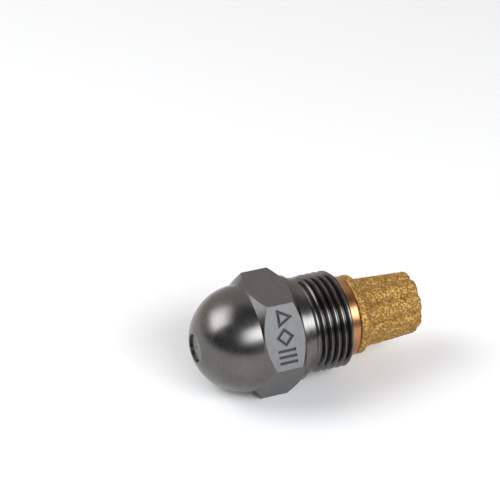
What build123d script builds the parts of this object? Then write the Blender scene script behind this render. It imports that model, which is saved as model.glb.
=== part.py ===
"""Pressure atomising oil burner nozzle, with a 9/16-24 UNEF thread for the nozzle holder.

Six pieces: a steel body, an orifice disc pressed in its tip, a slotted swirl distributor,
a lock screw that holds the distributor on the disc, a filter adapter that pushes into the
body's rear bore, and a sintered bronze filter pressed on the adapter.

The nozzle's axis is the X axis. +X points from the orifice to the filter, and X = 0 is the
rear face of the body. One flat of the hexagon faces +Z and one faces -Z, so the nozzle lies
on a table on a flat. All sizes are in millimetres.
"""

from build123d import *
import os
from math import ceil, cos, radians, sin, sqrt, tan

# ---- outside of the body ------------------------------------------------------------------

THREAD_BASIC_R = 25.4 * 9 / 16 / 2  # 9/16 inch major diameter
THREAD_R = 7.12  # over the crests, which are turned flat within the thread's tolerance
THREAD_PITCH = 25.4 / 24  # 24 threads to the inch
THREAD_FRONT_X = -5.45  # the grooves start on the lead-in cone
THREAD_END_CHAMFER = 0.3
THREAD_CREST_X = -0.47  # where a crest passes the flat that carries the marks

HEX_FLATS = 16.0
HEX_FRONT_X = -13.1  # where the hexagon's six corner edges begin
HEX_REAR_X = -9.18  # and where they end
HEX_CHAMFER_SLOPE = 40.0  # degrees between its two end chamfers and a plane square to the axis

DOME_R = 7.77
DOME_CENTRE_X = -14.46
TIP_X = -21.85  # flat at the end of the dome

COLLAR_R = 7.75  # round washer face behind the hexagon
COLLAR_END_X = -7.3
SHANK_END_X = -6.0  # plain shank, as thick as the thread
RELIEF_R = 6.49  # a relief groove parts the shank from the thread
RELIEF_FLOOR = 0.15  # its plain length, before it slopes up as the thread's lead-in cone
LEAD_IN_SLOPE = 30.0  # degrees from the axis

# ---- tip ----------------------------------------------------------------------------------

WINDOW_R = 2.05  # the disc's face shows through this hole
DISC_SEAT_X = -21.55  # rear of the thin lip round the window

# ---- inside of the body -------------------------------------------------------------------

DISC_R = 2.75
DISC_REAR_X = -18.5
CHAMBER_R = 3.3  # oil space round the distributor
CHAMBER_REAR_X = -12.3
UNDERCUT_R = 4.65  # where the inner thread runs out
UNDERCUT_REAR_X = -11.5
SPIGOT_BORE_R = 4.95
SPIGOT_BORE_DEPTH = 4.6

# M9 x 0.75 thread of the lock screw and of the bore it runs in
LOCK_PITCH = 0.75
LOCK_THREAD_R = 4.5
LOCK_THREAD_PLAY = 0.05  # radial, each thread
LOCK_BORE_R = LOCK_THREAD_R - 0.5413 * LOCK_PITCH

# ---- orifice disc -------------------------------------------------------------------------

ORIFICE_R = 0.12
OUTLET_CONE_R = 0.25
OUTLET_CONE_DEPTH = 0.13
SWIRL_CONE_R = 1.5
SWIRL_CHAMBER_R = 0.3  # the cone ends in a short round chamber before the orifice
SWIRL_CHAMBER_LENGTH = 0.3

# ---- swirl distributor --------------------------------------------------------------------

DISTRIBUTOR_R = 2.6
DISTRIBUTOR_SEAT_GAP = 0.03  # between the distributor's cone and the disc's cone
DISTRIBUTOR_TIP_R = 0.5
DISTRIBUTOR_REAR_X = -13.9
WAIST_R = 1.6
WAIST_FRONT_X = -16.5
WAIST_REAR_X = -15.1
SWIRL_SLOTS = 3
SWIRL_SLOT_WIDTH = 0.36
SWIRL_SLOT_OFFSET = 0.55  # slots run beside the axis, so that the oil enters at a tangent
SWIRL_SLOT_DEPTH = 0.3

# ---- lock screw ---------------------------------------------------------------------------

LOCK_NOSE_R = 2.9
LOCK_NOSE_END_X = -11.55
LOCK_REAR_X = -7.1
LOCK_HOLE_R = 1.1
LOCK_HOLE_END_X = -13.3
CROSS_HOLE_R = 0.55
CROSS_HOLE_X = -12.85
DRIVER_SLOT_WIDTH = 1.2
DRIVER_SLOT_DEPTH = 1.4

# ---- filter adapter -----------------------------------------------------------------------

SPIGOT_R = 4.9
SPIGOT_LENGTH = 4.0
SPIGOT_GROOVE_R = 4.6
SPIGOT_GROOVE_WIDTH = 0.6
ADAPTER_HOLE_R = 1.8
FLANGE_R = 5.9
FLANGE_LENGTH = 1.7
FLANGE_EDGE = 0.3
STUB_R = 2.7  # the filter is pressed on this stub
STUB_END_X = 4.3

# ---- sintered filter ----------------------------------------------------------------------

FILTER_BASE_R = 5.83
SHOULDER_FRONT_X = 2.8  # the round base narrows to the lobes here
SHOULDER_REAR_X = 3.55
FILTER_END_X = 12.2
FILTER_LOBES = 9
LOBE_CENTRE_R = 3.3  # the lobes are round, and are centred on this circle at the shoulder
LOBE_R = 1.88
FIRST_LOBE_TURN = 20.0  # degrees from +Z towards -Y
FILTER_END_SCALE = 0.89  # size of the lobed section at the far end
FILTER_END_ROUNDING = 0.5
FILTER_BORE_END_X = 10.3

# ---- stamped marks on the flats -----------------------------------------------------------

MARK_DEPTH = 0.2
MARK_STROKE = 0.4
MARK_LENGTH = 2.7  # along the nozzle's axis
MARKED_FLAT_TURN = 60.0  # degrees from +Z towards -Y
CONE_MARK_OFFSET = 2.75  # from the flat's middle, up the flat
STROKES_OFFSET = 2.75  # down the flat

# ---- values that several pieces share -----------------------------------------------------

HEX_CORNER_R = HEX_FLATS / 2 / cos(radians(30))
HEX_FRONT_CHAMFER_X = HEX_FRONT_X - (HEX_CORNER_R - DOME_R) * tan(radians(HEX_CHAMFER_SLOPE))
COLLAR_FRONT_X = HEX_REAR_X + (HEX_CORNER_R - COLLAR_R) * tan(radians(HEX_CHAMFER_SLOPE))
LEAD_IN_END_X = SHANK_END_X + RELIEF_FLOOR + (THREAD_R - RELIEF_R) / tan(radians(LEAD_IN_SLOPE))
FLAT_CENTRE_X = (HEX_FRONT_X + HEX_REAR_X) / 2
THREAD_DEPTH = THREAD_R - (THREAD_BASIC_R - 0.6134 * THREAD_PITCH)
THREAD_CREST = THREAD_PITCH / 8 + 2 * (THREAD_BASIC_R - THREAD_R) * tan(radians(30))
LOCK_SCREW_R = LOCK_THREAD_R - LOCK_THREAD_PLAY
LOCK_BORE_THREAD_R = LOCK_THREAD_R + LOCK_THREAD_PLAY
LOCK_SCREW_THREAD_DEPTH = 0.6134 * LOCK_PITCH
LOCK_THREAD_CREST = LOCK_PITCH / 8
SWIRL_CHAMBER_X = DISC_REAR_X - (SWIRL_CONE_R - SWIRL_CHAMBER_R)  # the cone is at 45 degrees
DISTRIBUTOR_CONE_X = DISC_REAR_X - SWIRL_CONE_R + DISTRIBUTOR_SEAT_GAP * sqrt(2)  # its apex


def across(x, turn=0.0):
    """Plane across the axis, facing +X, with local Y turned from +Z towards -Y."""
    angle = radians(turn)
    return Plane(origin=(x, 0, 0), x_dir=(0, cos(angle), sin(angle)), z_dir=(1, 0, 0))


def on_flat(turn):
    """Plane on the hexagon flat turned from +Z towards -Y. Local Y is +X."""
    angle = radians(turn)
    normal = Vector(0, -sin(angle), cos(angle))
    origin = Vector(FLAT_CENTRE_X, 0, 0) + normal * (HEX_FLATS / 2)
    return Plane(origin=origin, x_dir=(0, -cos(angle), -sin(angle)), z_dir=normal)


def thread_turns(crest_r, crest, depth, pitch, start_x, end_x, groove_x, groove_turn=0.0, inside=False):
    """Single turns of a winding V, to cut a right-hand thread on a shaft or in a bore.

    crest is the width that is left between the grooves. A groove's middle passes groove_x at
    groove_turn degrees from +Z towards -Y.
    """
    flank = tan(radians(30))
    crest_gap = pitch - crest
    root_gap = crest_gap - 2 * depth * flank
    past_crest = pitch / 20
    outwards = -1 if inside else 1
    path = Helix(pitch=pitch, height=pitch, radius=crest_r, direction=(1, 0, 0))
    first = path @ 0
    radial = Vector(0, first.Y, first.Z).normalized()
    with BuildPart() as one_turn:
        with BuildSketch(Plane(origin=first, x_dir=radial, z_dir=path % 0)):
            top = crest_gap / 2 + past_crest * flank
            root = root_gap / 2
            with BuildLine():
                Polyline(
                    (outwards * past_crest, -top),
                    (outwards * past_crest, top),
                    (-outwards * depth, root),
                    (-outwards * depth, -root),
                    close=True,
                )
            make_face()
        sweep(path=path, is_frenet=True)

    first_turn = Vector(0, 0, 1).get_signed_angle(radial, Vector(1, 0, 0))
    winds_to_go = (groove_x - start_x) / pitch
    turn = groove_turn - first_turn - 360 * winds_to_go
    turns = ceil((end_x - start_x) / pitch)
    return [Pos(start_x + i * pitch, 0, 0) * Rot(turn, 0, 0) * one_turn.part for i in range(turns)]


# ---- nozzle body --------------------------------------------------------------------------

outside_thread = thread_turns(
    crest_r=THREAD_R,
    crest=THREAD_CREST,
    depth=THREAD_DEPTH,
    pitch=THREAD_PITCH,
    start_x=THREAD_FRONT_X,
    end_x=THREAD_PITCH / 2,
    groove_x=THREAD_CREST_X + THREAD_PITCH / 2,
    groove_turn=MARKED_FLAT_TURN,
)
bore_thread = thread_turns(
    crest_r=LOCK_BORE_R,
    crest=LOCK_THREAD_CREST,
    depth=LOCK_BORE_THREAD_R - LOCK_BORE_R,
    pitch=LOCK_PITCH,
    start_x=(CHAMBER_REAR_X + UNDERCUT_REAR_X) / 2,
    end_x=-SPIGOT_BORE_DEPTH + LOCK_PITCH / 2,
    groove_x=LOCK_REAR_X,
    inside=True,
)


with BuildPart() as nozzle_body:
    # Turned outline, as wide as the hexagon's corners
    tip_r = sqrt(DOME_R**2 - (DOME_CENTRE_X - TIP_X) ** 2)
    dome_end_r = sqrt(DOME_R**2 - (DOME_CENTRE_X - HEX_FRONT_CHAMFER_X) ** 2)
    half_way = DOME_R * sqrt(0.5)
    with BuildSketch(Plane.XY):
        with BuildLine():
            Line((TIP_X, 0), (TIP_X, tip_r))
            ThreePointArc(
                (TIP_X, tip_r),
                (DOME_CENTRE_X - half_way, half_way),
                (HEX_FRONT_CHAMFER_X, dome_end_r),
            )
            Polyline(
                (HEX_FRONT_CHAMFER_X, dome_end_r),
                (HEX_FRONT_X, HEX_CORNER_R),
                (HEX_REAR_X, HEX_CORNER_R),
                (COLLAR_FRONT_X, COLLAR_R),
                (COLLAR_END_X, COLLAR_R),
                (COLLAR_END_X, THREAD_R),
                (SHANK_END_X, THREAD_R),
                (SHANK_END_X, RELIEF_R),
                (SHANK_END_X + RELIEF_FLOOR, RELIEF_R),
                (LEAD_IN_END_X, THREAD_R),
                (-THREAD_END_CHAMFER, THREAD_R),
                (0, THREAD_R - THREAD_END_CHAMFER),
                (0, 0),
                (TIP_X, 0),
            )
        make_face()
    revolve(axis=Axis.X)

    # Six flats
    with BuildSketch(across(HEX_FRONT_CHAMFER_X)):
        Circle(HEX_CORNER_R * 1.1)
        RegularPolygon(HEX_CORNER_R, 6, mode=Mode.SUBTRACT)
    extrude(amount=COLLAR_FRONT_X - HEX_FRONT_CHAMFER_X, mode=Mode.SUBTRACT)

    # Window in the tip, disc seat, oil chamber, bore for the thread and spigot bore
    with BuildSketch(Plane.XY):
        with BuildLine():
            Polyline(
                (TIP_X, 0),
                (TIP_X, WINDOW_R),
                (DISC_SEAT_X, WINDOW_R),
                (DISC_SEAT_X, DISC_R),
                (DISC_REAR_X, DISC_R),
                (DISC_REAR_X, CHAMBER_R),
                (CHAMBER_REAR_X, CHAMBER_R),
                (CHAMBER_REAR_X, LOCK_BORE_R),
                (-SPIGOT_BORE_DEPTH, LOCK_BORE_R),
                (-SPIGOT_BORE_DEPTH, SPIGOT_BORE_R),
                (0, SPIGOT_BORE_R),
                (0, 0),
                close=True,
            )
        make_face()
    revolve(axis=Axis.X, mode=Mode.SUBTRACT)

    # Threads, and then the undercut, which trims the inner thread's front end
    for cutter in outside_thread + bore_thread:
        add(cutter, mode=Mode.SUBTRACT)
    with BuildSketch(Plane.XY):
        with Locations(((CHAMBER_REAR_X + UNDERCUT_REAR_X) / 2, UNDERCUT_R / 2)):
            Rectangle(UNDERCUT_REAR_X - CHAMBER_REAR_X, UNDERCUT_R)
    revolve(axis=Axis.X, mode=Mode.SUBTRACT)

    # Stamped marks on one flat: a spray cone, a diamond and three strokes
    with BuildSketch(on_flat(MARKED_FLAT_TURN)):
        inner_side = MARK_LENGTH - 2 * sqrt(3) * MARK_STROKE
        with Locations((-CONE_MARK_OFFSET, 0)):
            Triangle(a=MARK_LENGTH, b=MARK_LENGTH, c=MARK_LENGTH)
            Triangle(a=inner_side, b=inner_side, c=inner_side, mode=Mode.SUBTRACT)
        RegularPolygon(MARK_LENGTH / 2, 4)
        RegularPolygon(MARK_LENGTH / 2 - MARK_STROKE * sqrt(2), 4, mode=Mode.SUBTRACT)
        with Locations((STROKES_OFFSET, 0)):
            with GridLocations(2.1 * MARK_STROKE, 0, 3, 1):
                Rectangle(MARK_STROKE, MARK_LENGTH)
    extrude(amount=-MARK_DEPTH, mode=Mode.SUBTRACT)

# ---- orifice disc -------------------------------------------------------------------------

with BuildPart() as orifice_disc:
    with BuildSketch(Plane.XY):
        with BuildLine():
            Polyline(
                (DISC_SEAT_X, OUTLET_CONE_R),
                (DISC_SEAT_X + OUTLET_CONE_DEPTH, ORIFICE_R),
                (SWIRL_CHAMBER_X - SWIRL_CHAMBER_LENGTH, ORIFICE_R),
                (SWIRL_CHAMBER_X - SWIRL_CHAMBER_LENGTH, SWIRL_CHAMBER_R),
                (SWIRL_CHAMBER_X, SWIRL_CHAMBER_R),
                (DISC_REAR_X, SWIRL_CONE_R),
                (DISC_REAR_X, DISC_R),
                (DISC_SEAT_X, DISC_R),
                close=True,
            )
        make_face()
    revolve(axis=Axis.X)

# ---- swirl distributor --------------------------------------------------------------------

with BuildPart() as swirl_distributor:
    with BuildSketch(Plane.XY):
        with BuildLine():
            Polyline(
                (DISTRIBUTOR_CONE_X + DISTRIBUTOR_TIP_R, 0),
                (DISTRIBUTOR_CONE_X + DISTRIBUTOR_TIP_R, DISTRIBUTOR_TIP_R),
                (DISTRIBUTOR_CONE_X + DISTRIBUTOR_R, DISTRIBUTOR_R),
                (WAIST_FRONT_X, DISTRIBUTOR_R),
                (WAIST_FRONT_X, WAIST_R),
                (WAIST_REAR_X, WAIST_R),
                (WAIST_REAR_X, DISTRIBUTOR_R),
                (DISTRIBUTOR_REAR_X, DISTRIBUTOR_R),
                (DISTRIBUTOR_REAR_X, 0),
                close=True,
            )
        make_face()
    revolve(axis=Axis.X)

    # Slots in the cone, each beside the axis
    slot_length = (DISTRIBUTOR_R - DISTRIBUTOR_TIP_R) * sqrt(2) * 1.3
    middle_r = (DISTRIBUTOR_R + DISTRIBUTOR_TIP_R) / 2
    for slot in range(SWIRL_SLOTS):
        turn = radians(360 / SWIRL_SLOTS * slot)
        outwards = Vector(0, -sin(turn), cos(turn))
        along_cone = (Vector(1, 0, 0) + outwards).normalized()
        off_cone = (outwards - Vector(1, 0, 0)).normalized()
        middle = Vector(DISTRIBUTOR_CONE_X + middle_r, 0, 0) + outwards * middle_r
        floor = Plane(origin=middle - off_cone * SWIRL_SLOT_DEPTH, x_dir=along_cone, z_dir=off_cone)
        with BuildSketch(floor):
            with Locations((0, SWIRL_SLOT_OFFSET)):
                Rectangle(slot_length, SWIRL_SLOT_WIDTH)
        extrude(amount=2 * DISTRIBUTOR_R, mode=Mode.SUBTRACT)

# ---- lock screw ---------------------------------------------------------------------------

lock_thread = thread_turns(
    crest_r=LOCK_SCREW_R,
    crest=LOCK_THREAD_CREST,
    depth=LOCK_SCREW_THREAD_DEPTH,
    pitch=LOCK_PITCH,
    start_x=LOCK_NOSE_END_X - LOCK_PITCH / 2,
    end_x=LOCK_REAR_X + LOCK_PITCH / 2,
    groove_x=LOCK_REAR_X + LOCK_PITCH / 2,
)

with BuildPart() as lock_screw:
    end_chamfer = LOCK_SCREW_THREAD_DEPTH
    with BuildSketch(Plane.XY):
        with BuildLine():
            Polyline(
                (DISTRIBUTOR_REAR_X, 0),
                (DISTRIBUTOR_REAR_X, LOCK_SCREW_R),
                (LOCK_REAR_X - end_chamfer, LOCK_SCREW_R),
                (LOCK_REAR_X, LOCK_SCREW_R - end_chamfer),
                (LOCK_REAR_X, LOCK_HOLE_R),
                (LOCK_HOLE_END_X, LOCK_HOLE_R),
                (LOCK_HOLE_END_X, 0),
                close=True,
            )
        make_face()
    revolve(axis=Axis.X)
    for cutter in lock_thread:
        add(cutter, mode=Mode.SUBTRACT)

    # The plain nose is turned after the thread, and trims its front end
    with BuildSketch(Plane.XY):
        with BuildLine():
            Polyline(
                (DISTRIBUTOR_REAR_X, LOCK_NOSE_R),
                (LOCK_NOSE_END_X, LOCK_NOSE_R),
                (LOCK_NOSE_END_X, LOCK_SCREW_R - end_chamfer),
                (LOCK_NOSE_END_X + 2 * end_chamfer, LOCK_SCREW_R + end_chamfer),
                (DISTRIBUTOR_REAR_X, LOCK_SCREW_R + end_chamfer),
                close=True,
            )
        make_face()
    revolve(axis=Axis.X, mode=Mode.SUBTRACT)

    # Screwdriver slot across the rear face
    with BuildSketch(across(LOCK_REAR_X)):
        Rectangle(DRIVER_SLOT_WIDTH, 2.5 * LOCK_SCREW_R)
    extrude(amount=-DRIVER_SLOT_DEPTH, mode=Mode.SUBTRACT)

    # Two cross holes let the oil out of the nose
    for hole_plane in (Plane.XY, Plane.XZ):
        with BuildSketch(hole_plane):
            with Locations((CROSS_HOLE_X, 0)):
                Circle(CROSS_HOLE_R)
        extrude(amount=LOCK_NOSE_R * 1.1, both=True, mode=Mode.SUBTRACT)

# ---- filter adapter -----------------------------------------------------------------------

with BuildPart() as filter_adapter:
    groove_x = -SPIGOT_LENGTH / 2
    lead_in = SPIGOT_R - SPIGOT_GROOVE_R
    with BuildSketch(Plane.XY):
        with BuildLine():
            Polyline(
                (-SPIGOT_LENGTH, ADAPTER_HOLE_R),
                (-SPIGOT_LENGTH, SPIGOT_R - lead_in),
                (-SPIGOT_LENGTH + lead_in, SPIGOT_R),
                (groove_x - SPIGOT_GROOVE_WIDTH / 2, SPIGOT_R),
                (groove_x - SPIGOT_GROOVE_WIDTH / 2, SPIGOT_GROOVE_R),
                (groove_x + SPIGOT_GROOVE_WIDTH / 2, SPIGOT_GROOVE_R),
                (groove_x + SPIGOT_GROOVE_WIDTH / 2, SPIGOT_R),
                (0, SPIGOT_R),
                (0, FLANGE_R - FLANGE_EDGE),
                (FLANGE_EDGE, FLANGE_R),
                (FLANGE_LENGTH - FLANGE_EDGE, FLANGE_R),
                (FLANGE_LENGTH, FLANGE_R - FLANGE_EDGE),
                (FLANGE_LENGTH, STUB_R),
                (STUB_END_X, STUB_R),
                (STUB_END_X, ADAPTER_HOLE_R),
                close=True,
            )
        make_face()
    revolve(axis=Axis.X)

# ---- sintered filter ----------------------------------------------------------------------


def lobed_section(scale):
    """Round lobes that run into each other, about the sketch's origin."""
    Circle(LOBE_CENTRE_R * scale)
    first = 90 + FIRST_LOBE_TURN
    with PolarLocations(LOBE_CENTRE_R * scale, FILTER_LOBES, start_angle=first):
        Circle(LOBE_R * scale)


with BuildPart() as sintered_filter:
    with BuildSketch(across(SHOULDER_FRONT_X)):
        lobed_section(1)
    with BuildSketch(across(FILTER_END_X)):
        lobed_section(FILTER_END_SCALE)
    loft()

    # Rounded corner at the far end
    end_r = (LOBE_CENTRE_R + LOBE_R) * FILTER_END_SCALE
    with BuildSketch(Plane.XY):
        with BuildLine():
            Polyline(
                (SHOULDER_FRONT_X, 0),
                (SHOULDER_FRONT_X, FILTER_BASE_R),
                (FILTER_END_X - FILTER_END_ROUNDING, FILTER_BASE_R),
                (FILTER_END_X - FILTER_END_ROUNDING, end_r),
            )
            RadiusArc(
                (FILTER_END_X - FILTER_END_ROUNDING, end_r),
                (FILTER_END_X, end_r - FILTER_END_ROUNDING),
                FILTER_END_ROUNDING,
            )
            Polyline(
                (FILTER_END_X, end_r - FILTER_END_ROUNDING),
                (FILTER_END_X, 0),
                (SHOULDER_FRONT_X, 0),
            )
        make_face()
    revolve(axis=Axis.X, mode=Mode.INTERSECT)

    # Round base with a sloping shoulder
    with BuildSketch(Plane.XY):
        with BuildLine():
            Polyline(
                (FLANGE_LENGTH, 0),
                (FLANGE_LENGTH, FILTER_BASE_R),
                (SHOULDER_FRONT_X, FILTER_BASE_R),
                (SHOULDER_REAR_X, LOBE_CENTRE_R + LOBE_R),
                (SHOULDER_REAR_X, 0),
                close=True,
            )
        make_face()
    revolve(axis=Axis.X)

    # Blind bore
    with BuildSketch(across(FLANGE_LENGTH)):
        Circle(STUB_R)
    extrude(amount=FILTER_BORE_END_X - FLANGE_LENGTH, mode=Mode.SUBTRACT)

# ---- one file for each piece --------------------------------------------------------------

PIECES = {
    "nozzle_body": nozzle_body,
    "orifice_disc": orifice_disc,
    "swirl_distributor": swirl_distributor,
    "lock_screw": lock_screw,
    "filter_adapter": filter_adapter,
    "sintered_filter": sintered_filter,
}

os.makedirs("parts", exist_ok=True)
for name, piece in PIECES.items():
    piece.part.label = name
    export_step(piece.part, f"parts/{name}.step")
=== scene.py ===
"""Looks of the oil burner nozzle: its metals, the grainy sintered filter, the studio and the camera.

The nozzle's axis is the X axis, with X = 0 at the body's rear face and +X towards the filter.
Lengths are in metres, as in the frame, and are written as millimetres times MM.
"""

from math import cos, pi, radians, sin, sqrt

import bpy
import numpy as np
from mathutils import Matrix, Vector
from mathutils.kdtree import KDTree

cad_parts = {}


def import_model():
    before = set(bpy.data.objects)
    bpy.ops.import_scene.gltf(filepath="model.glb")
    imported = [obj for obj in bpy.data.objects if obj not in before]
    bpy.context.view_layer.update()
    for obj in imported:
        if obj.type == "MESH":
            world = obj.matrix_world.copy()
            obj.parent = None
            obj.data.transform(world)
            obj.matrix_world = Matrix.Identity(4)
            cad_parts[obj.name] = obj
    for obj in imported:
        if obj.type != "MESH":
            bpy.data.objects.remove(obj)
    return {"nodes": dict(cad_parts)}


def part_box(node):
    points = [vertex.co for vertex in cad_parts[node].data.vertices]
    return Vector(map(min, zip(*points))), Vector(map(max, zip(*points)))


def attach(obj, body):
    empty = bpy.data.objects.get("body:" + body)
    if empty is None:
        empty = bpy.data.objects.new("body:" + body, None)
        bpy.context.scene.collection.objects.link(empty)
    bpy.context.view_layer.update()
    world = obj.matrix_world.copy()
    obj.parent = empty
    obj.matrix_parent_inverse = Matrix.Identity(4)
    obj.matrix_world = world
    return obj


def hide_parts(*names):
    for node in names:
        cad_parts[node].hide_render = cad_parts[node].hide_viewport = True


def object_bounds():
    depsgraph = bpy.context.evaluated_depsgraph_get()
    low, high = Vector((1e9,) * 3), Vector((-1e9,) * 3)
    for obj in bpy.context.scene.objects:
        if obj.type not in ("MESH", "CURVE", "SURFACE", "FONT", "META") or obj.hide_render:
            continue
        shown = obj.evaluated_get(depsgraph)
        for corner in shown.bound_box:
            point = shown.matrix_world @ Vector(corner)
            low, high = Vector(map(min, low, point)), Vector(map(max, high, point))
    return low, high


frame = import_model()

MM = 0.001
cad_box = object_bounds()
nodes = frame["nodes"]

PRINCIPLED = "ShaderNodeBsdfPrincipled"

# Places on the body
FLATS_FRONT_X = -14.25 * MM  # the hexagon's flats lie between these, clear of the dome and collar
FLATS_REAR_X = -8.04 * MM
FLATS_MIDDLE_X = -11.14 * MM
MARKED_FLAT = (0.0, -sin(radians(60)), cos(radians(60)))  # the way that the marked flat faces
DOWN_MARKED_FLAT = (0.0, -cos(radians(60)), -sin(radians(60)))
MARKS_TOP_R = 7.96 * MM  # the marks' floors lie between these distances from the axis
MARKS_FLOOR_R = 7.7 * MM
MARKS_HALF_HEIGHT = 4.3 * MM  # up and down the flat
MARKS_HALF_LENGTH = 1.6 * MM  # along the axis
LEAD_IN_X = (-4.95 * MM, -4.75 * MM)  # the painted shade in the thread's roots begins here
ROOT_SHADE_FULL_R = 6.5 * MM  # painted shade: all of it below this, and none above the next
ROOT_SHADE_NONE_R = 6.95 * MM


# ---- material graphs ----------------------------------------------------------------------


class Graph:
    """A node tree of a material, a light or the world, with short calls for making and joining nodes."""

    def __init__(self, owner, output, place="Object"):
        owner.use_nodes = True
        self.owner = owner
        self.tree = owner.node_tree
        self.tree.nodes.clear()
        self.output = self.tree.nodes.new(output)
        self.place = self.node("ShaderNodeTexCoord").outputs[place]

    def node(self, kind, inputs=None, **settings):
        made = self.tree.nodes.new(kind)
        for key, value in settings.items():
            setattr(made, key, value)
        for key, value in (inputs or {}).items():
            if isinstance(value, bpy.types.NodeSocket):
                self.tree.links.new(value, made.inputs[key])
            else:
                made.inputs[key].default_value = value
        return made

    def math(self, operation, a, b=0.0, clamp=False):
        return self.node("ShaderNodeMath", {0: a, 1: b}, operation=operation, use_clamp=clamp).outputs[0]

    def ramp(self, value, low, high, out_low=0.0, out_high=1.0):
        """value from low..high to out_low..out_high, with soft ends."""
        inputs = {"Value": value, "From Min": low, "From Max": high, "To Min": out_low, "To Max": out_high}
        return self.node("ShaderNodeMapRange", inputs, interpolation_type="SMOOTHSTEP").outputs["Result"]

    def mix(self, factor, a, b):
        """a where factor is 0 and b where it is 1, for colours."""
        made = self.node("ShaderNodeMix", {"Factor": factor}, data_type="RGBA")
        for socket, value in ((made.inputs[6], a), (made.inputs[7], b)):
            if isinstance(value, bpy.types.NodeSocket):
                self.tree.links.new(value, socket)
            else:
                socket.default_value = (*value, 1.0)
        return made.outputs[2]

    def dot(self, vector, direction):
        made = self.node("ShaderNodeVectorMath", {0: vector, 1: direction}, operation="DOT_PRODUCT")
        return made.outputs["Value"]

    def scaled(self, vector, factors):
        inputs = {0: vector, 1: factors}
        return self.node("ShaderNodeVectorMath", inputs, operation="MULTIPLY").outputs[0]

    def axial(self):
        """Distance along the nozzle's axis, and away from it."""
        x = self.node("ShaderNodeSeparateXYZ", {0: self.place}).outputs["X"]
        across = self.scaled(self.place, (0.0, 1.0, 1.0))
        r = self.node("ShaderNodeVectorMath", {0: across}, operation="LENGTH").outputs["Value"]
        return x, r

    def noise(self, vector, scale, detail=3.0, roughness=0.5):
        inputs = {"Vector": vector, "Scale": scale, "Detail": detail, "Roughness": roughness}
        return self.node("ShaderNodeTexNoise", inputs).outputs["Fac"]

    def rings(self, x, r, lines_per_mm):
        """Fine lines round the axis, as a lathe leaves them."""
        section = self.node("ShaderNodeCombineXYZ", {"X": x, "Y": r}).outputs[0]
        return self.noise(section, lines_per_mm / MM, detail=4.0, roughness=0.7)

    def bump(self, height, depth, normal=None):
        inputs = {"Height": height, "Strength": 1.0, "Distance": depth}
        if normal is not None:
            inputs["Normal"] = normal
        return self.node("ShaderNodeBump", inputs).outputs["Normal"]

    def finish(self, kind, **inputs):
        """Ends the tree in a shader of this kind, and gives back what owns the tree."""
        named = {}
        for key, value in inputs.items():
            named[key.replace("_", " ")] = (*value, 1.0) if isinstance(value, tuple) else value
        shader = self.node(kind, named)
        self.tree.links.new(shader.outputs[0], self.output.inputs["Surface"])
        return self.owner


def surface_graph(name):
    return Graph(bpy.data.materials.new(name), "ShaderNodeOutputMaterial")


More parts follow.
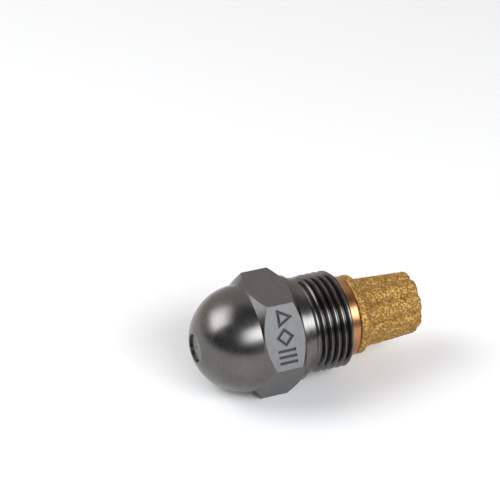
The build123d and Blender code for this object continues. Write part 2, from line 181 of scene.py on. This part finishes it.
def body_steel():
    """Dark turned steel, with satin flats on the hexagon, marks darkened with painted shade and painted
    shade in the thread's roots.
    """
    g = surface_graph("body_steel")
    x, r = g.axial()
    normal = g.node("ShaderNodeNewGeometry").outputs["True Normal"]
    normal_x = g.node("ShaderNodeSeparateXYZ", {0: normal}).outputs["X"]

    # 1 on the hexagon's flats, which stand square to the axis between the two chamfers
    level = g.math("LESS_THAN", g.math("ABSOLUTE", normal_x), 0.02)
    behind_dome = g.math("GREATER_THAN", x, FLATS_FRONT_X)
    before_collar = g.math("LESS_THAN", x, FLATS_REAR_X)
    flats = g.math("MULTIPLY", level, g.math("MULTIPLY", behind_dome, before_collar))

    # 1 inside the stamped marks, which lie below the marked flat and away from its ends
    depth = g.dot(g.place, MARKED_FLAT)
    below = g.math("LESS_THAN", depth, MARKS_TOP_R)
    within = g.math("GREATER_THAN", depth, MARKS_FLOOR_R)
    down = g.math("ABSOLUTE", g.dot(g.place, DOWN_MARKED_FLAT))
    off_ends = g.math("LESS_THAN", down, MARKS_HALF_HEIGHT)
    along = g.math("ABSOLUTE", g.math("SUBTRACT", x, FLATS_MIDDLE_X))
    off_chamfers = g.math("LESS_THAN", along, MARKS_HALF_LENGTH)
    on_marks = g.math("MULTIPLY", off_ends, off_chamfers)
    stamped = g.math("MULTIPLY", g.math("MULTIPLY", below, within), on_marks)

    cloudy = g.noise(g.place, 0.35 / MM, detail=4.0)
    grain = g.noise(g.place, 6.0 / MM, detail=5.0, roughness=0.65)
    milled = g.noise(g.scaled(g.place, (9.0 / MM, 1.2 / MM, 1.2 / MM)), 1.0, detail=4.0, roughness=0.6)
    rings = g.rings(x, r, 5.0)
    fine_rings = g.rings(x, r, 16.0)

    turned = g.mix(g.ramp(cloudy, 0.3, 0.7), (0.124, 0.119, 0.113), (0.151, 0.145, 0.138))
    satin = g.mix(g.ramp(milled, 0.3, 0.7), (0.138, 0.138, 0.135), (0.178, 0.178, 0.176))
    satin = g.mix(g.ramp(grain, 0.62, 0.75), satin, (0.105, 0.105, 0.105))
    colour = g.mix(flats, turned, satin)
    # Painted shade: the floors of the stamped marks are coloured near black
    colour = g.mix(stamped, colour, (0.048, 0.047, 0.048))

    # Painted shade: the thread's roots are coloured near black
    in_thread = g.ramp(x, *LEAD_IN_X)
    root_shade = g.ramp(r, ROOT_SHADE_NONE_R, ROOT_SHADE_FULL_R)
    colour = g.mix(g.math("MULTIPLY", in_thread, root_shade), colour, (0.050, 0.047, 0.045))

    turned_roughness = g.ramp(g.math("ADD", fine_rings, cloudy), 0.7, 1.3, 0.22, 0.31)
    satin_roughness = g.ramp(grain, 0.3, 0.7, 0.42, 0.50)
    rough = g.node("ShaderNodeMix", {"Factor": flats, "A": turned_roughness, "B": satin_roughness})
    roughness = rough.outputs["Result"]

    turned_height = g.math("ADD", rings, g.math("MULTIPLY", fine_rings, 0.35))
    satin_height = g.math("MULTIPLY", g.math("ADD", milled, grain), 2.0)
    height = g.node("ShaderNodeMix", {"Factor": flats, "A": turned_height, "B": satin_height})
    edge = g.node("ShaderNodeBevel", {"Radius": 0.03 * MM}, samples=6).outputs["Normal"]
    bump = g.bump(height.outputs["Result"], 0.0012 * MM, edge)
    return g.finish(PRINCIPLED, Base_Color=colour, Metallic=1.0, Roughness=roughness, Normal=bump)


def turned_metal(name, dark, light, rough, lines_per_mm=9.0, depth=0.0008 * MM):
    """A bright turned metal with rings round the axis and a cloudy tint."""
    g = surface_graph(name)
    x, r = g.axial()
    cloudy = g.noise(g.place, 0.6 / MM, detail=4.0)
    rings = g.rings(x, r, lines_per_mm)
    colour = g.mix(g.ramp(g.math("ADD", cloudy, g.math("MULTIPLY", rings, 0.5)), 0.5, 1.0), dark, light)
    roughness = g.ramp(rings, 0.3, 0.7, rough - 0.05, rough + 0.07)
    edge = g.node("ShaderNodeBevel", {"Radius": 0.05 * MM}, samples=6).outputs["Normal"]
    bump = g.bump(rings, depth, edge)
    return g.finish(PRINCIPLED, Base_Color=colour, Metallic=1.0, Roughness=roughness, Normal=bump)


def sintered_bronze():
    """Fused bronze grains: golden tops, painted shade in the pores between them, some grains darker or
    redder.
    """
    g = surface_graph("sintered_bronze")
    tone = g.node("ShaderNodeAttribute", attribute_name="grain_tone").outputs["Fac"]
    rise = g.node("ShaderNodeAttribute", attribute_name="grain_rise").outputs["Fac"]
    cloudy = g.noise(g.place, 0.9 / MM, detail=4.0, roughness=0.6)
    fine = g.noise(g.place, 12.0 / MM, detail=3.0)
    gold = g.mix(g.ramp(tone, 0.1, 0.8), (0.330, 0.178, 0.037), (0.540, 0.336, 0.091))
    gold = g.mix(g.ramp(tone, 0.9, 0.94), gold, (0.300, 0.126, 0.031))
    gold = g.mix(g.ramp(cloudy, 0.45, 0.75, 0.0, 0.4), gold, (0.396, 0.202, 0.046))
    # Painted shade: the deeper a point lies in the pores between grains, the browner it is
    colour = g.mix(g.ramp(rise, 0.0, 0.6), (0.235, 0.118, 0.028), gold)
    roughness = g.ramp(fine, 0.3, 0.7, 0.45, 0.62)
    bump = g.bump(fine, 0.004 * MM)
    return g.finish(PRINCIPLED, Base_Color=colour, Metallic=0.6, Roughness=roughness, Normal=bump)


def dress(node, material):
    """Gives a CAD node its material."""
    obj = nodes[node]
    if not obj.material_slots:
        obj.data.materials.append(material)
    for slot in obj.material_slots:
        slot.material = material


# ---- sintered filter ----------------------------------------------------------------------

LOBES = 9
LOBE_CENTRE_R = 3.3 * MM
LOBE_R = 1.88 * MM
FIRST_LOBE = radians(20.0)  # from +Z towards -Y
STUB_R = 2.7 * MM
BASE_R = 5.83 * MM
BASE_ROUNDING = 0.25 * MM
SHOULDER_FRONT_X = 2.8 * MM
SHOULDER_REAR_X = 3.55 * MM
END_SCALE = 0.89  # the lobed section narrows to this at the far end
END_ROUNDING = 0.55 * MM
BORE_END_X = 10.3 * MM

GRAIN_R = 0.27 * MM
GRAIN_SPACING = 0.33 * MM
GRAIN_LIFT = 0.04 * MM  # the grains' tops stand this far out of the plain shape
GRAIN_UNEVEN = 0.05 * MM  # how much lower a grain may sit
GRAIN_SIZES = (0.82, 1.18)  # the smallest and the largest grain, as parts of GRAIN_R
GRAIN_SEED = 11
NEAREST_GRAINS = 5  # how many are looked at for each point of the skin
PORE_DEPTH = 0.10 * MM

MESH_STEP = 0.09 * MM
COLUMNS = 372
FRONT_FACE_ROWS = 12
BASE_ROUNDING_ROWS = 5  # in this and the next, the first is the last row of the stretch before
END_ROUNDING_ROWS = 9


def lobed_radius(turn):
    """Distance from the axis to the outside of the nearest lobe, at the shoulder."""
    pitch = 2 * pi / LOBES
    off = (turn - FIRST_LOBE + pitch / 2) % pitch - pitch / 2
    return LOBE_CENTRE_R * np.cos(off) + np.sqrt(LOBE_R**2 - (LOBE_CENTRE_R * np.sin(off)) ** 2)


def filter_grid(front_x, end_x):
    """Places of the filter's outside as a grid: a row for each step from the bore's mouth over the
    outside to the middle of the far end, and a column for each turn about the axis."""
    turn = np.arange(COLUMNS) * 2 * pi / COLUMNS
    lobed = lobed_radius(turn)
    rows = []

    # Front face, rounded edge and base
    for r in np.linspace(STUB_R, BASE_R - BASE_ROUNDING, FRONT_FACE_ROWS):
        rows.append((np.full(COLUMNS, front_x), np.full(COLUMNS, r)))
    for angle in np.linspace(0, pi / 2, BASE_ROUNDING_ROWS)[1:]:
        x = front_x + BASE_ROUNDING * (1 - cos(angle))
        rows.append((np.full(COLUMNS, x), np.full(COLUMNS, BASE_R - BASE_ROUNDING * (1 - sin(angle)))))

    # Side: the base, its sloping shoulder and the lobes, whichever stands out furthest
    slope = (BASE_R - LOBE_CENTRE_R - LOBE_R) / (SHOULDER_REAR_X - SHOULDER_FRONT_X)
    side_end = end_x - END_ROUNDING
    side_start = front_x + BASE_ROUNDING
    for x in np.linspace(side_start, side_end, int((side_end - side_start) / MESH_STEP))[1:]:
        along = (x - SHOULDER_FRONT_X) / (end_x - SHOULDER_FRONT_X)
        lobe = lobed * (1 + along * (END_SCALE - 1))
        shoulder = min(BASE_R, BASE_R - slope * (x - SHOULDER_FRONT_X))
        rows.append((np.full(COLUMNS, x), np.maximum(lobe, shoulder)))

    # Rounded end and end face
    rim = lobed * END_SCALE
    for angle in np.linspace(0, pi / 2, END_ROUNDING_ROWS)[1:]:
        x = side_end + END_ROUNDING * sin(angle)
        rows.append((np.full(COLUMNS, x), rim - END_ROUNDING * (1 - cos(angle))))
    for part in np.linspace(1, 0, int((rim.max() - END_ROUNDING) / MESH_STEP))[1:-1]:
        rows.append((np.full(COLUMNS, end_x), (rim - END_ROUNDING) * part))

    x = np.array([row[0] for row in rows])
    r = np.array([row[1] for row in rows])
    return np.stack([x, -r * np.sin(turn), r * np.cos(turn)], axis=-1)


def grid_normals(grid):
    """Outward directions of a grid that closes on itself from its last column to its first."""
    across = np.roll(grid, -1, axis=1) - np.roll(grid, 1, axis=1)
    along = np.gradient(grid, axis=0)
    normal = np.cross(across, along)
    return normal / np.linalg.norm(normal, axis=-1, keepdims=True)


def scatter(points, spacing, rng):
    """Picks points at random that are no nearer to each other than the spacing."""
    cells = {}
    picked = []
    near = [(i, j, k) for i in (-1, 0, 1) for j in (-1, 0, 1) for k in (-1, 0, 1)]
    for index in rng.permutation(len(points)):
        point = points[index]
        cell = tuple((point // spacing).astype(int))
        beside = (cells.get((cell[0] + i, cell[1] + j, cell[2] + k)) for i, j, k in near)
        others = [other for group in beside if group for other in group]
        if all(((point - other) ** 2).sum() >= spacing**2 for other in others):
            cells.setdefault(cell, []).append(point)
            picked.append(point)
    return picked


def grains(points, rng):
    """Height of the fused grains over each point, how far up its grain that is, and its grain's tone."""
    centres = scatter(points, GRAIN_SPACING, rng)
    tree = KDTree(len(centres))
    for index, centre in enumerate(centres):
        tree.insert(centre, index)
    tree.balance()
    radius = GRAIN_R * rng.uniform(*GRAIN_SIZES, len(centres))
    lift = GRAIN_LIFT - rng.uniform(0, GRAIN_UNEVEN, len(centres))
    tones = rng.uniform(0, 1, len(centres))
    height = np.full(len(points), -PORE_DEPTH)
    tone = np.zeros(len(points))
    for number, point in enumerate(points):
        for _, index, distance in tree.find_n(point, NEAREST_GRAINS):
            if distance < radius[index]:
                top = lift[index] + sqrt(radius[index] ** 2 - distance**2) - radius[index]
                if top > height[number]:
                    height[number] = top
                    tone[number] = tones[index]
    return height, (height + PORE_DEPTH) / PORE_DEPTH, tone


def sintered_filter():
    """The filter as a skin of fused grains over its lobed shape, with a plain blind bore."""
    low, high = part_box("sintered_filter")
    rng = np.random.default_rng(GRAIN_SEED)
    grid = filter_grid(low.x, high.x)
    rows = len(grid)
    flat = grid.reshape(-1, 3)
    normal = grid_normals(grid).reshape(-1, 3)
    height, rise, tone = grains(flat, rng)

    # Grains stand on the outside only: the front face lies on the adapter
    outside = np.clip((flat[:, 0] - low.x) / BASE_ROUNDING, 0, 1)
    skin = flat + normal * (height * outside)[:, None]

    turn = np.arange(COLUMNS) * 2 * pi / COLUMNS
    bore = np.stack([np.full(COLUMNS, BORE_END_X), -STUB_R * np.sin(turn), STUB_R * np.cos(turn)], axis=-1)
    end_middle = (high.x + height[-COLUMNS:].mean(), 0.0, 0.0)
    points = [tuple(p) for p in skin] + [tuple(p) for p in bore] + [end_middle, (BORE_END_X, 0.0, 0.0)]
    first_bore = rows * COLUMNS
    end_point = first_bore + COLUMNS
    bore_point = end_point + 1

    faces = []
    for column in range(COLUMNS):
        beside = (column + 1) % COLUMNS
        for row in range(rows - 1):
            a = row * COLUMNS + column
            b = row * COLUMNS + beside
            faces.append((a, a + COLUMNS, b + COLUMNS, b))
        last = (rows - 1) * COLUMNS
        faces.append((last + column, end_point, last + beside))
        faces.append((column, beside, first_bore + beside, first_bore + column))
        faces.append((first_bore + column, first_bore + beside, bore_point))

    mesh = bpy.data.meshes.new("filter_grains")
    mesh.from_pydata(points, [], faces)
    mesh.validate()
    spare = [0.5] * (COLUMNS + 2)
    for name, values in (("grain_tone", tone), ("grain_rise", rise)):
        mesh.attributes.new(name, "FLOAT", "POINT").data.foreach_set("value", list(values) + spare)
    mesh.shade_smooth()
    piece = bpy.data.objects.new("filter_grains", mesh)
    bpy.context.scene.collection.objects.link(piece)
    mesh.materials.append(sintered_bronze())
    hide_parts("sintered_filter")
    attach(piece, "filter_unit")
    return piece


# ---- studio -------------------------------------------------------------------------------

CAMERA_AIM = Vector((-9.76, 9.27, 8.20)) * MM
CAMERA_AZIMUTH = radians(-24.66)  # 0 looks along +Y, with +X to the right
CAMERA_ELEVATION = radians(33.57)
CAMERA_ROLL = radians(2.77)
CAMERA_DISTANCE = 290 * MM
CAMERA_LENS = 144.0  # this and the next are in millimetres, as Blender has them
CAMERA_SENSOR_WIDTH = 36.0
CAMERA_CLIP = (1 * MM, 20.0)

STUDIO_MIDDLE = Vector((-6.0, 0.0, 0.0)) * MM
SOFTBOX_DISTANCE = 450 * MM
COOL = (0.95, 0.97, 1.0)
BEHIND = (0.26, 0.97, 0.0)  # level, and within ten degrees of the way that the camera looks
FLOOR_HALF = 2.0


def camera():
    """Stands CAMERA_DISTANCE from CAMERA_AIM and looks at it."""
    azimuth, elevation = CAMERA_AZIMUTH, CAMERA_ELEVATION
    back = Vector((sin(azimuth) * cos(elevation), -cos(azimuth) * cos(elevation), sin(elevation)))
    level_right = Vector((cos(azimuth), sin(azimuth), 0.0))
    level_up = back.cross(level_right)
    right = level_right * cos(CAMERA_ROLL) + level_up * sin(CAMERA_ROLL)
    up = back.cross(right)
    data = bpy.data.cameras.new("camera")
    data.lens = CAMERA_LENS
    data.sensor_width = CAMERA_SENSOR_WIDTH
    data.clip_start, data.clip_end = CAMERA_CLIP
    obj = bpy.data.objects.new("camera", data)
    place = Matrix.Translation(CAMERA_AIM + back * CAMERA_DISTANCE)
    obj.matrix_world = place @ Matrix((right, up, back)).transposed().to_4x4()
    bpy.context.scene.collection.objects.link(obj)
    bpy.context.scene.camera = obj


def softbox(name, bearing, elevation, width, height, radiance, fades, tint):
    """An area light that fades towards its edges.

    bearing turns from +X towards +Y. width and height are in degrees as seen from the nozzle. fades
    are the parts of the width and height over which the light fades, at its four edges.
    """
    b, e = radians(bearing), radians(elevation)
    away = Vector((cos(b) * cos(e), sin(b) * cos(e), sin(e)))
    data = bpy.data.lights.new(name, "AREA")
    data.shape = "RECTANGLE"
    data.size = 2 * SOFTBOX_DISTANCE * sin(radians(width / 2))
    data.size_y = 2 * SOFTBOX_DISTANCE * sin(radians(height / 2))
    data.energy = radiance * pi * data.size * data.size_y
    data.color = tint

    g = Graph(data, "ShaderNodeOutputLight")
    place = g.node("ShaderNodeSeparateXYZ", {0: g.node("ShaderNodeNewGeometry").outputs["Parametric"]})
    glow = 1.0
    for axis, low, high in (("X", *fades[:2]), ("Y", *fades[2:])):
        part = place.outputs[axis]
        glow = g.math("MULTIPLY", g.ramp(part, 0.0, low), glow)
        glow = g.math("MULTIPLY", g.ramp(part, 1.0, 1.0 - high), glow)
    g.finish("ShaderNodeEmission", Strength=glow)

    obj = bpy.data.objects.new(name, data)
    turned = away.to_track_quat("Z", "Y").to_matrix().to_4x4()
    obj.matrix_world = Matrix.Translation(STUDIO_MIDDLE + away * SOFTBOX_DISTANCE) @ turned
    obj.visible_camera = False
    bpy.context.scene.collection.objects.link(obj)


def world():
    """Dark in front, so that the steel reads dark, paler behind, and white to the camera."""
    made = bpy.data.worlds.new("studio")
    bpy.context.scene.world = made
    g = Graph(made, "ShaderNodeOutputWorld", "Generated")
    height = g.node("ShaderNodeSeparateXYZ", {0: g.place}).outputs["Z"]
    behind = g.ramp(g.dot(g.place, BEHIND), 0.0, 0.55)
    low = g.ramp(height, 1.0, 0.92)
    dark = g.mix(g.ramp(height, 0.1, 1.0), (0.05, 0.05, 0.056), (0.16, 0.16, 0.17))
    sky = g.mix(g.math("MULTIPLY", behind, low), dark, (0.72, 0.69, 0.65))
    seen = g.node("ShaderNodeLightPath").outputs["Is Camera Ray"]
    g.finish("ShaderNodeBackground", Color=g.mix(seen, sky, (1.0, 1.0, 1.0)))


def floor():
    """A sheet of white paper under the hexagon's lower flat."""
    half = FLOOR_HALF
    z = cad_box[0][2]
    mesh = bpy.data.meshes.new("floor")
    corners = [(-half, -half, z), (half, -half, z), (half, half, z), (-half, half, z)]
    mesh.from_pydata(corners, [], [(0, 1, 2, 3)])
    g = surface_graph("floor_paper")
    mottle = g.noise(g.place, 0.02 / MM)
    colour = g.mix(mottle, (0.85, 0.848, 0.843), (0.88, 0.878, 0.873))
    mesh.materials.append(g.finish(PRINCIPLED, Base_Color=colour, Roughness=0.75))
    obj = bpy.data.objects.new("floor", mesh)
    bpy.context.scene.collection.objects.link(obj)


# ---- the scene ----------------------------------------------------------------------------

dress("nozzle_body", body_steel())
dress("orifice_disc", turned_metal("disc_steel", (0.130, 0.127, 0.123), (0.165, 0.161, 0.157), 0.26))
dress("swirl_distributor", turned_metal("distributor_steel", (0.42, 0.41, 0.40), (0.55, 0.54, 0.53), 0.22))
dress("lock_screw", turned_metal("screw_brass", (0.58, 0.40, 0.16), (0.75, 0.56, 0.26), 0.26))
dress("filter_adapter", turned_metal("adapter_copper", (0.335, 0.155, 0.068), (0.45, 0.228, 0.106), 0.27))
sintered_filter()

floor()
world()
softbox("key", -84, 40, 104, 39, 8.2, fades=(0.6, 0.1, 0.3, 0.4), tint=COOL)
softbox("side", 147, 44, 60, 64, 6.1, fades=(0.6, 0.06, 0.3, 0.5), tint=COOL)
camera()
bpy.context.scene.view_settings.view_transform = "Standard"
